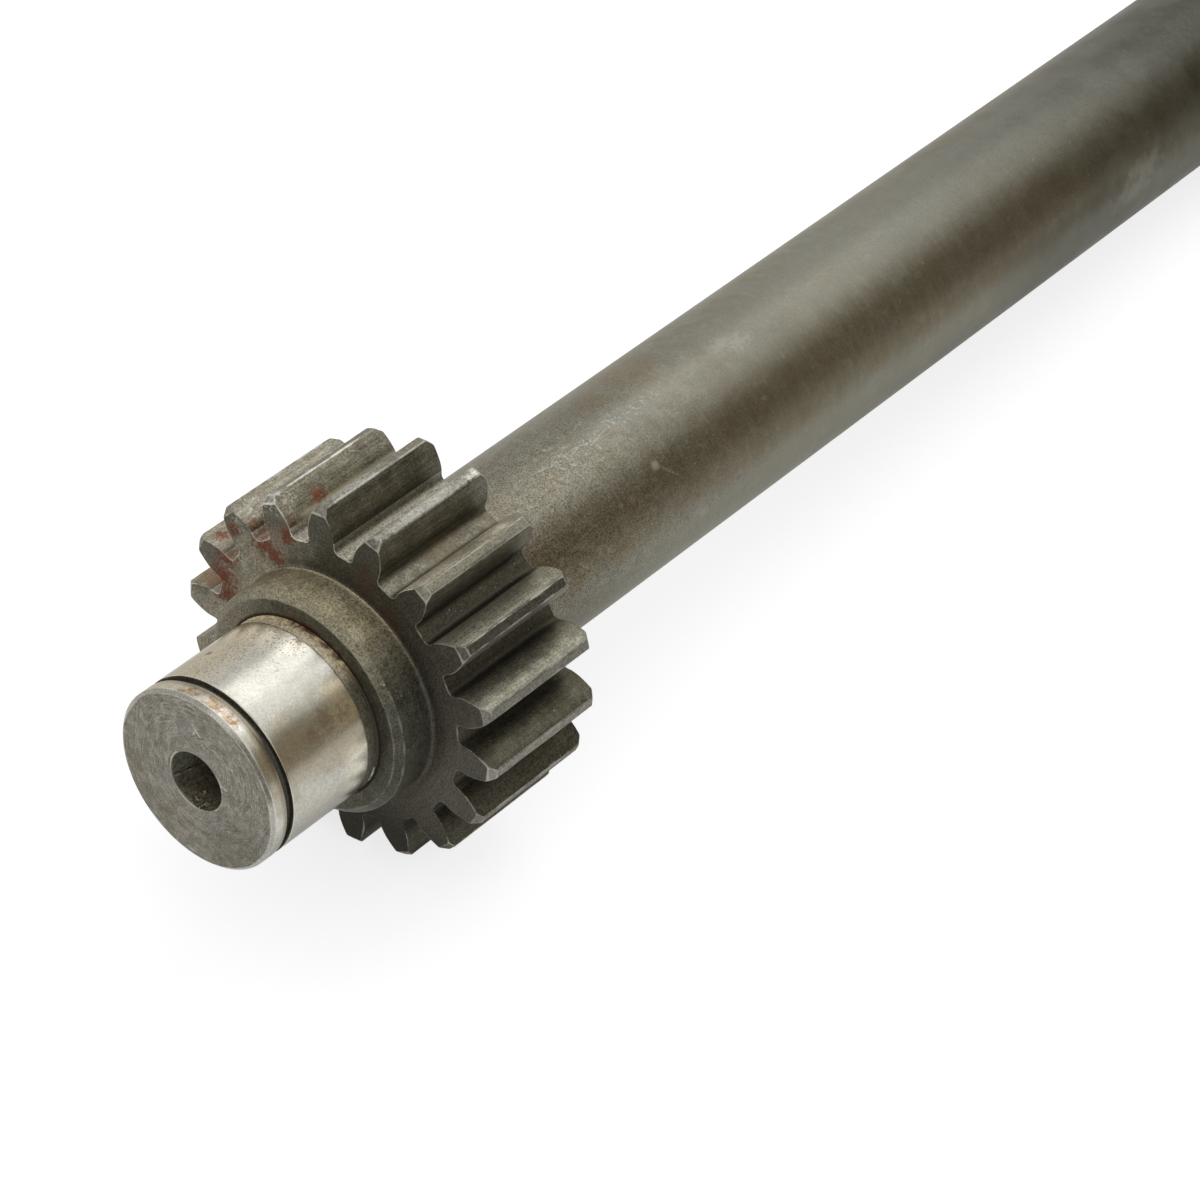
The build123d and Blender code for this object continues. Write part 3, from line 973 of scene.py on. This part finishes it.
def minus_side_flank_steel():
    """The flanks on the minus side of each tooth space, darker than the other flanks as painted shade: dark
    scale, with rust and knocks on the teeth of one side, and a painted highlight on their worn edges.
    """
    finish = Finish("minus_side_flank", roughness=0.47, metallic=0.75, edge=DULL_EDGE)
    grit = finish.grit(0.36)
    finish.start(finish.cloud(3.0), (0.082, 0.076, 0.055), (0.117, 0.109, 0.082))
    # Painted light and shade: paler on the teeth on the left side, more so further round, paler on the far
    # right and at the back of the teeth, and darker at the foot of the flanks far round on the left
    pale = finish.mix(finish.cloud(2.0), (0.18, 0.166, 0.118), (0.25, 0.233, 0.175))
    finish.tint(pale, 0.9, y=(4.5, 15))
    finish.tint((0.36, 0.334, 0.27), 0.35, y=(18.5, 22.5))
    finish.tint((0.23, 0.221, 0.188), 0.8, y=(-18.5, -21.5))
    finish.tint((0.22, 0.21, 0.165), 0.3, x=(58.5, 61))
    finish.tint((0.1, 0.078, 0.052), 0.65, radius=(32.5, 30), y=(18, 21))
    finish.tint((0.36, 0.325, 0.25), 0.6, y=(25.5, 28))
    finish.tint((0.06, 0.054, 0.04), 0.3, finish.cloud(1.6, 0.56, 0.7))
    finish.grained(finish.shared(TOOTH_STREAKS), 0.24)
    finish.grained(grit, 0.45)
    # The foot of the flank is dark, but the light reaches it on the upper teeth
    reached = finish.within(y=(9, 13, 17, 20))
    finish.tint(DEEP_SHADE, 0.7, finish.recess, finish.apart_from(reached, 0.8))
    finish.tint((0.62, 0.58, 0.48), 0.75, reached, radius=(29.3, 29.8, 30.3, 31.2), x=(37.5, 40.5))
    finish.tint((0.2, 0.12, 0.06), 0.75, finish.patches([(38.3, 32.0, 3.0, 4.5)], 2.0))
    spots = [(44.2, 13.4, 28.6, 2.0), (38.3, 29.9, 13.3, 1.6)]
    spots += [(37.0, 21.8, 20.5, 1.9), (36.5, 13.0, 26.5, 1.7)]
    finish.rust(finish.shared(RUST_GRAIN, Patch=finish.patches(spots, 0.8, 1.25)), 0.85)
    worn = finish.patches([(37.4, 15.5, 30.6, 3.2), (38.6, 24.0, 23.6, 3.0)], 1.0, 1.2)
    finish.tint((0.5, 0.485, 0.42), 0.8, finish.shared(FLECKS, Patch=worn))
    runs = [((54.1, 16.5, 30.9), (57.0, 15.0, 30.0)), ((51.0, 15.8, 30.5), (53.0, 15.0, 29.9))]
    finish.tint((0.38, 0.36, 0.3), 0.6, finish.scratches(runs, 0.25))
    finish.tint(PALE_SPECK, 1.0, finish.specks(1.1, 0.35, 0.13))
    finish.tint(RUBBED_TOOTH, 0.7, finish.rubbed(0.7))
    # Painted highlight on the worn edges of the teeth on one side
    finish.tint((0.6, 0.585, 0.52), 0.9, finish.worn_edge_highlight())
    return finish.close(finish.scaled(grit, 0.14, 0.4), finish.bump(grit, 0.012))


def root_steel():
    finish = Finish("tooth_root", roughness=0.5, metallic=0.7, edge=DULL_EDGE)
    grit = finish.grit(0.42)
    finish.start(finish.cloud(2.0), (0.18, 0.167, 0.122), (0.28, 0.264, 0.203))
    # Painted light and shade: very pale on the left, dark on the right and darker further round, a paler band
    # low on the far right, and dark underneath
    finish.tint((0.7, 0.66, 0.54), 0.9, y=(-8, 9))
    finish.tint((0.062, 0.055, 0.038), 0.9, y=(-10.5, -18.5))
    finish.tint((0.03, 0.027, 0.019), 0.3, y=(-21.5, -23.5))
    finish.tint((0.17, 0.16, 0.12), 0.6, y=(-25, -27))
    finish.tint((0.035, 0.031, 0.022), 0.8, z=(-12, -22))
    finish.grained(grit, 0.5)
    # Painted shade in the root fillets
    finish.tint((0.04, 0.036, 0.027), 0.7, finish.recess)
    brown = finish.patches([(50.0, -10.0, 26.0, 7.0), (61.0, -10.6, 26.0, 3.0)], 2.0)
    finish.tint((0.2, 0.152, 0.085), 0.32, brown)
    spots = [(36.5, 25.7, 12.5, 3.0), (37.0, 18.6, 20.5, 2.8), (36.5, 27.1, 6.9, 2.6)]
    rust = finish.shared(RUST_GRAIN, Patch=finish.patches(spots, 1.3, 1.1))
    finish.tint((0.24, 0.09, 0.045), 0.5, rust)
    finish.tint((0.4, 0.38, 0.32), 1.0, finish.specks(0.9, 0.4, 0.15))
    finish.tint(RUBBED_TOOTH, 0.7, finish.rubbed(0.64))
    return finish.close(finish.scaled(grit, 0.15, 0.42), finish.bump(grit, 0.02))


def land_steel():
    finish = Finish("tooth_land", roughness=0.45, metallic=0.75, edge=DULL_EDGE)
    grit = finish.grit(0.4)
    finish.start(finish.cloud(2.2), (0.12, 0.113, 0.087), (0.19, 0.18, 0.145))
    # Painted light and shade: darker on the far right, paler a little further in, greyer at middle heights,
    # darker underneath and paler on the left
    finish.tint((0.07, 0.065, 0.05), 0.75, y=(-21, -25.5))
    finish.tint((0.27, 0.252, 0.19), 0.5, y=(-21.5, -19, -15, -12))
    low = finish.mix(finish.within(z=(8, 3)), (0.2, 0.19, 0.16), (0.25, 0.24, 0.21))
    finish.tint(low, 0.88, z=(-18, -15, 14.5, 19.5))
    finish.tint((0.1, 0.095, 0.08), 0.4, z=(-7, -10))
    finish.tint((0.32, 0.296, 0.238), 0.4, y=(2, 5))
    # Pale patches along the lands of the top teeth, partly wear and partly painted highlight, and a painted
    # glint near the back of one
    worn = finish.patches([(49.0, -6.15, 34.9, 10.0), (44.0, 6.15, 34.9, 4.0)], 1.2, 1.2, (0.6, 1.8, 1.0))
    finish.tint((0.4, 0.39, 0.35), 0.68, worn)
    finish.tint((0.68, 0.65, 0.58), 0.8, finish.patches([(61.8, -6.15, 34.9, 2.4)], 1.0))
    finish.grained(grit, 0.42)
    chips = finish.patches([(45.6, 17.2, 31.0, 1.0), (52.5, 18.3, 30.4, 0.7), (37.0, 17.0, 30.5, 1.6)], 0.6)
    finish.tint((0.5, 0.49, 0.44), 0.7, chips)
    finish.tint((0.44, 0.424, 0.37), 0.6, finish.rubbed(0.74))
    # Painted highlight on the worn edges of the teeth on one side
    finish.tint((0.62, 0.6, 0.54), 0.9, finish.worn_edge_highlight())
    return finish.close(finish.scaled(grit, 0.12, 0.4), finish.bump(grit, 0.008))


def lay_body_scale(finish, broad):
    """The scale, browner next to the gear, with painted light and shade: lighter along the top, colder below
    as a painted reflection of the table, darker underneath and towards the far end, and a darker brown band
    along the side.
    """
    finish.start(finish.lines(finish.x, 0.7, 60.0), (0.194, 0.18, 0.135), (0.23, 0.216, 0.167))
    finish.tint((0.155, 0.142, 0.103), 0.35, finish.cloud(3.0))
    finish.tint((0.2, 0.194, 0.162), 0.35, broad)
    finish.tint((0.185, 0.15, 0.1), 0.45, finish.cloud(6.5, 0.5, 0.64))
    finish.tint((0.215, 0.222, 0.187), 0.45, finish.cloud(4.3, 0.5, 0.64))
    finish.tint((0.28, 0.268, 0.225), 0.4, finish.cloud(2.6, 0.54, 0.68))
    # Painted light: lighter along the top
    crown = finish.within(z=(15.5, 17.8), x=(100, 200))
    finish.tint((0.3, 0.296, 0.255), 0.5, crown)
    finish.tint((0.18, 0.15, 0.1), 0.5, finish.cloud(7.0, 0.25, 0.6), x=(100, 66))
    finish.tint((0.3, 0.288, 0.24), 0.4, finish.cloud(1.1, 0.5, 0.62), x=(125, 80))
    finish.tint((0.11, 0.1, 0.072), 0.4, finish.cloud(0.8, 0.53, 0.66), x=(125, 80))
    brown = finish.patches([(119.8, 6.0, 17.0, 9.0), (110.0, 4.5, 17.4, 6.0)], 4.0, 0.8)
    finish.tint((0.2, 0.155, 0.098), 0.55, brown)
    # Painted reflection: colder below, where the white table shows in the gloss
    finish.tint((0.205, 0.203, 0.167), 0.6, z=(8.5, -1))
    # Painted shade: darker towards the far end
    far = finish.mix(finish.cloud(7.0, 0.38, 0.62), (0.07, 0.067, 0.052), (0.11, 0.11, 0.092))
    finish.tint(far, 0.85, x=(160, 310))
    # Painted light along the top again
    finish.tint((0.2, 0.2, 0.172), 0.25, crown)
    # Painted shade: darker underneath
    finish.tint((0.06, 0.058, 0.047), 0.8, z=(0, -8), x=(100, 250))
    # Painted shade: darker beside the top, low down next to the gear, a little near the top, and again
    # further along
    finish.tint((0.12, 0.113, 0.09), 0.3, y=(-1, -6), z=(14.2, 16.5), x=(85, 125))
    finish.tint((0.1, 0.095, 0.076), 0.5, z=(7, -1), x=(105, 78))
    finish.tint((0.08, 0.074, 0.058), 0.14, z=(14.5, 16.5), x=(125, 105))
    finish.tint((0.04, 0.039, 0.032), 0.35, z=(8, 4.5), x=(205, 225, 252, 262))
    finish.tint((0.03, 0.03, 0.024), 0.2, x=(262, 285))
    # Painted reflection: a darker brown band lies along the side
    finish.multiply((0.75, 0.695, 0.62), z=(1, 6.5, 13, 17), y=(-2, -8))


def mark_body(finish):
    """Scuffs and a painted sheen along the top, a knock on the side, a few small spots and a painted
    highlight streak further along.
    """
    drawn_out = (0.3, 1.0, 1.0)
    sheen = finish.patches([(111.0, -2.2, 17.8, 4.5), (122.0, -2.0, 17.9, 4.5)], 3.0, 0.8, drawn_out)
    finish.tint((0.28, 0.278, 0.243), 0.25, sheen)
    far = finish.patches([(142.1, -3.4, 17.7, 2.4), (139.0, -2.0, 17.9, 2.0)], 0.8, 1.2, (0.6, 1.0, 1.0))
    finish.tint((0.33, 0.33, 0.295), 0.35, far)
    near = finish.patches([(91.0, -1.8, 17.9, 5.0), (98.5, -2.6, 17.8, 3.6)], 1.2, 1.3)
    long = finish.patches([(109.0, -1.8, 17.9, 2.2), (116.0, -1.7, 17.9, 1.8)], 1.0, 1.2, drawn_out)
    scuffs = finish.shared(FLECKS, Patch=finish.strongest(near, long))
    finish.tint((0.38, 0.38, 0.35), 0.65, scuffs)
    runs = [((84.0, -1.2, 17.9), (93.5, -2.8, 17.8)), ((91.5, -3.0, 17.7), (97.0, -2.2, 17.8))]
    runs += [((94.0, -1.5, 17.9), (99.5, -2.7, 17.8)), ((99.0, -3.3, 17.7), (104.0, -2.3, 17.8))]
    finish.tint((0.38, 0.38, 0.35), 0.5, finish.scratches(runs, 0.35))
    finish.tint((0.42, 0.395, 0.31), 0.75, finish.patches([(107.1, -12.0, 13.4, 1.2)], 0.6, 0.5))
    tail = finish.scratches([((107.8, -12.4, 13.0), (111.0, -14.7, 10.4))], 0.45)
    finish.tint((0.38, 0.355, 0.28), 0.5, tail)
    spots = [(95.4, -13.6, 11.8, 0.7), (98.5, -13.8, 11.5, 0.8), (89.2, -16.5, 7.2, 0.8)]
    spots += [(126.0, -17.7, 3.5, 1.0), (115.5, -18.0, 1.1, 1.4), (138.0, -13.2, 12.2, 0.7)]
    finish.tint((0.33, 0.31, 0.25), 0.35, finish.patches(spots, 0.5, 1.2))
    finish.tint((0.09, 0.085, 0.066), 0.6, finish.patches([(125.9, -17.7, 3.1, 0.8)], 0.6, 0.8))
    # Painted highlight: a pale streak low on the side, further along
    streak = finish.patches([(261.0, -17.3, 4.8, 3.0), (256.0, -17.9, 1.5, 3.0)], 3.0, 0.9, (0.4, 1.0, 1.0))
    finish.tint((0.2, 0.2, 0.172), 0.45, streak)
    finish.tint((0.34, 0.33, 0.28), 0.6, finish.specks(1.8, 0.3, 0.1))
    finish.tint(BRIGHT, 0.7, finish.rubbed(0.75))


def body_scale():
    finish = Finish("shaft_scale", roughness=0.45, metallic=0.88, edge=(0.74, 0.73, 0.69))
    grit = finish.grit(0.3)
    broad = finish.cloud(9.0, 0.3, 0.7)
    lay_body_scale(finish, broad)
    # The grain is strongest next to the gear and fades along the first part of the body
    fading = finish.remap(finish.x, 68 * MM, 150 * MM, 1.2, 0.3)
    finish.multiply(finish.sum(1.0, finish.product(finish.sum(grit, -0.5), fading)))
    mark_body(finish)
    rough = finish.sum(finish.scaled(grit, 0.1, 0.34), finish.scaled(broad, 0.05))
    return finish.close(rough, finish.bump(finish.product(grit, fading), 0.006))


def far_end_steel():
    finish = Finish("far_end_face", roughness=0.45, metallic=0.85)
    rings = finish.lines(finish.sum(finish.radius, finish.x), 0.3, 200.0)
    finish.start(rings, (0.12, 0.113, 0.09), (0.2, 0.19, 0.155))
    finish.tint((0.13, 0.12, 0.094), 0.4, finish.cloud(5.0))
    finish.grained(finish.grit(0.4), 0.3)
    finish.tint(BRIGHT, 0.75, finish.rubbed(0.75))
    return finish.close(finish.scaled(rings, 0.12, 0.38), finish.bump(rings, 0.004))


FINISHES = {
    "bore": bore_wall(),
    "end_face": turned_end(),
    "chamfer": chamfer_steel(),
    "ground": ground_steel(),
    "groove": groove_steel(),
    "relief": relief_steel(),
    "shoulder": shoulder_steel(),
    "collar": collar_steel(),
    "gear_face": gear_face_steel(),
    "plus_side_flank": plus_side_flank_steel(),
    "minus_side_flank": minus_side_flank_steel(),
    "root": root_steel(),
    "land": land_steel(),
    "body": body_scale(),
    "far_end": far_end_steel(),
}
ZONES = list(FINISHES)


# The whole shaft from its sector
def ring_of_sectors():
    """Node tree that repeats the sector round the X axis, welds the copies and gives each zone its finish."""
    tree = bpy.data.node_groups.new("ring_of_sectors", "GeometryNodeTree")
    tree.interface.new_socket(name="Sector", in_out="INPUT", socket_type="NodeSocketGeometry")
    tree.interface.new_socket(name="Teeth", in_out="INPUT", socket_type="NodeSocketInt").default_value = 1
    tree.interface.new_socket(name="Weld distance", in_out="INPUT", socket_type="NodeSocketFloat")
    tree.interface.new_socket(name="Shaft", in_out="OUTPUT", socket_type="NodeSocketGeometry")
    wiring = Wiring(tree)
    given = tree.nodes.new("NodeGroupInput").outputs
    step = wiring.math("DIVIDE", 2 * pi, given["Teeth"])
    index = wiring.add("GeometryNodeInputIndex").outputs[0]
    turn = wiring.spot(wiring.product(index, step), 0.0, 0.0)
    spots = wiring.add("GeometryNodePoints", {"Count": given["Teeth"]}).outputs[0]
    copies = {"Points": spots, "Instance": given["Sector"], "Rotation": turn}
    shape = wiring.add("GeometryNodeInstanceOnPoints", copies).outputs[0]
    shape = wiring.add("GeometryNodeRealizeInstances", {0: shape}).outputs[0]
    weld = {"Geometry": shape, "Distance": given["Weld distance"]}
    shape = wiring.add("GeometryNodeMergeByDistance", weld).outputs[0]
    zone = wiring.add("GeometryNodeInputNamedAttribute", {"Name": "zone"}, data_type="INT")
    for number, material in enumerate(FINISHES.values()):
        pair = {2: zone.outputs["Attribute"], 3: number}
        compare = wiring.add("FunctionNodeCompare", pair, data_type="INT", operation="EQUAL")
        choice = {"Geometry": shape, "Selection": compare.outputs[0], "Material": material}
        shape = wiring.add("GeometryNodeSetMaterial", choice).outputs[0]
    leaving = tree.nodes.new("NodeGroupOutput")
    tree.links.new(shape, leaving.inputs["Shaft"])
    return tree


def chip_edges(mesh):
    """Knocks the outer edges of the teeth back a few hundredths of a millimetre, unevenly."""
    least_wear = 0.5
    least_radius = 28 * MM
    spared = 0.15
    depth = 0.16 * MM
    wear = mesh.attributes["wear"].data
    for vertex in mesh.vertices:
        amount = wear[vertex.index].value
        x, side, up = vertex.co
        radius = hypot(side, up)
        if amount < least_wear or radius < least_radius:
            continue
        uneven = noise.noise(vertex.co * 700) + 0.6 * noise.noise(vertex.co * 1900)
        knock = max(uneven - spared, 0.0) * depth * amount
        vertex.co = (x, side * (1 - knock / radius), up * (1 - knock / radius))


def build_shaft():
    """The shaft as one plain mesh at the origin."""
    seed = bpy.data.objects.new("shaft_seed", sector_mesh())
    bpy.context.scene.collection.objects.link(seed)
    tree = ring_of_sectors()
    modifier = seed.modifiers.new("ring_of_sectors", "NODES")
    modifier.node_group = tree
    wanted = {"Teeth": TEETH, "Weld distance": 0.001 * MM}
    for item in tree.interface.items_tree:
        if item.in_out == "INPUT" and item.name in wanted:
            modifier[item.identifier] = wanted[item.name]
    depsgraph = bpy.context.evaluated_depsgraph_get()
    mesh = bpy.data.meshes.new_from_object(seed.evaluated_get(depsgraph), depsgraph=depsgraph)
    seed.modifiers.remove(modifier)
    bpy.data.objects.remove(seed)
    mesh.name = "stub_shaft"
    chip_edges(mesh)
    work = bmesh.new()
    work.from_mesh(mesh)
    bmesh.ops.recalc_face_normals(work, faces=work.faces)
    work.to_mesh(mesh)
    work.free()
    mesh.shade_smooth()
    mesh.set_sharp_from_angle(angle=radians(32))
    shaft = bpy.data.objects.new("stub_shaft", mesh)
    bpy.context.scene.collection.objects.link(shaft)
    return shaft


shaft = build_shaft()
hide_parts("pto_stub_shaft")
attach(shaft, "root")


# Camera, with its fitted place and directions and a last small turn to the right and up
camera_data = bpy.data.cameras.new("camera")
camera_data.lens = 132.1726
camera_data.sensor_width = 36.0
camera_data.clip_end = 50.0
camera = bpy.data.objects.new("camera", camera_data)
bpy.context.scene.collection.objects.link(camera)
camera_place = (-0.40261586, -0.36158397, 0.50854909)
right = Vector((0.62854153, -0.77358084, 0.08067355))
down = Vector((-0.46743394, -0.45861009, -0.75576603))
ahead = Vector((0.62164383, 0.43732078, -0.64985343))
ahead = (ahead + right * 0.000093 - down * 0.000157).normalized()
right = ahead.cross(-down).normalized()
up = right.cross(ahead).normalized()
turn = Matrix((right, up, -ahead)).transposed()
camera.matrix_world = Matrix.Translation(camera_place) @ turn.to_4x4()
bpy.context.scene.camera = camera


# Table, lamp and surroundings
def placed(name, data, place, aim, front):
    """A new object at this place, with its front axis turned towards a point."""
    made = bpy.data.objects.new(name, data)
    bpy.context.scene.collection.objects.link(made)
    facing = (Vector(aim) - Vector(place)).to_track_quat(front, "Y")
    made.matrix_world = Matrix.Translation(place) @ facing.to_matrix().to_4x4()
    return made


def card(name, place, aim, width, height, material):
    """A flat card that faces a point, as part of the studio."""
    mesh = bpy.data.meshes.new(name)
    x, y = width / 2, height / 2
    mesh.from_pydata([(-x, -y, 0), (x, -y, 0), (x, y, 0), (-x, y, 0)], [], [(0, 1, 2, 3)])
    mesh.materials.append(material)
    made = placed(name, mesh, place, aim, "Z")
    return made


def lamp(name, place, aim, width, height, power):
    data = bpy.data.lights.new(name, "AREA")
    data.shape = "RECTANGLE"
    data.size, data.size_y = width, height
    data.energy = power
    placed(name, data, place, aim, "-Z").visible_camera = False


def seen_directly(wiring):
    """1 for rays from the camera, from a gloss and through glass, and 0 for rays that only carry light."""
    path = wiring.add("ShaderNodeLightPath").outputs
    return wiring.strongest(path["Is Camera Ray"], path["Is Glossy Ray"], path["Is Transmission Ray"])


def table_material():
    """White table, with a part of its brightness of its own, so that it stays white away from the lamp."""
    own_brightness = 0.74
    material = bpy.data.materials.new("white_table")
    material.use_nodes = True
    wiring = Wiring(material.node_tree)
    shader = material.node_tree.nodes["Principled BSDF"]
    shader.inputs["Base Color"].default_value = (0.5, 0.5, 0.5, 1.0)
    shader.inputs["Roughness"].default_value = 0.9
    shader.inputs["Specular IOR Level"].default_value = 0.1
    shader.inputs["Emission Color"].default_value = (1.0, 1.0, 1.0, 1.0)
    glow = wiring.product(seen_directly(wiring), own_brightness)
    material.node_tree.links.new(glow, shader.inputs["Emission Strength"])
    return material


def flag_material(name, shade):
    """A plain glow of one colour, for a card that shows in the gloss of the steel."""
    material = bpy.data.materials.new(name)
    material.use_nodes = True
    tree = material.node_tree
    tree.nodes.remove(tree.nodes["Principled BSDF"])
    glow = Wiring(tree).add("ShaderNodeEmission", {"Color": colour(shade), "Strength": 1.0})
    tree.links.new(glow.outputs[0], tree.nodes["Material Output"].inputs["Surface"])
    return material


# The shaft lies on the tips of two teeth and on the rim of its far end, so the table slopes under it
tooth_foot = Vector((62.1, 0.0, -35.063)) * MM
far_foot = Vector((378.5, 0.0, -18.0)) * MM
slope = (far_foot - tooth_foot).normalized()
table_up = Vector((-slope.z, 0.0, slope.x))
table_middle = tooth_foot + slope * 0.1
card("table", table_middle, table_middle + table_up, width=8.0, height=8.0, material=table_material())

# Two dark cards that only show in the gloss of the steel
brown_card = flag_material("brown_card", (0.34, 0.3, 0.225))
grey_card = flag_material("grey_card", (0.35, 0.36, 0.34))
flags = [
    card("side_flag", (1.0, -0.98, 0.34), (0.15, 0.0, 0.19), width=2.4, height=1.42, material=brown_card),
    card("back_flag", (1.45, 0.1, 0.75), (0.3, 0.0, 0.0), width=1.6, height=0.7, material=grey_card),
]
for flag in flags:
    flag.visible_camera = False
    flag.visible_diffuse = False
    flag.visible_shadow = False
    flag.visible_transmission = False

lamp("softbox", (0.66, 0.08, 0.85), (0.1, 0.0, 0.0), width=0.9, height=0.55, power=2.24)

world = bpy.data.worlds.new("studio")
bpy.context.scene.world = world
world.use_nodes = True
tree = world.node_tree
wiring = Wiring(tree)
white = wiring.add("ShaderNodeBackground", {"Color": (1.0, 1.0, 1.0, 1.0), "Strength": 1.0})
ambient = wiring.add("ShaderNodeBackground", {"Color": (0.62, 0.63, 0.64, 1.0), "Strength": 1.0})
shown = {0: seen_directly(wiring), 1: ambient.outputs[0], 2: white.outputs[0]}
mixed = wiring.add("ShaderNodeMixShader", shown)
tree.links.new(mixed.outputs[0], tree.nodes["World Output"].inputs["Surface"])

bpy.context.scene.view_settings.view_transform = "Standard"
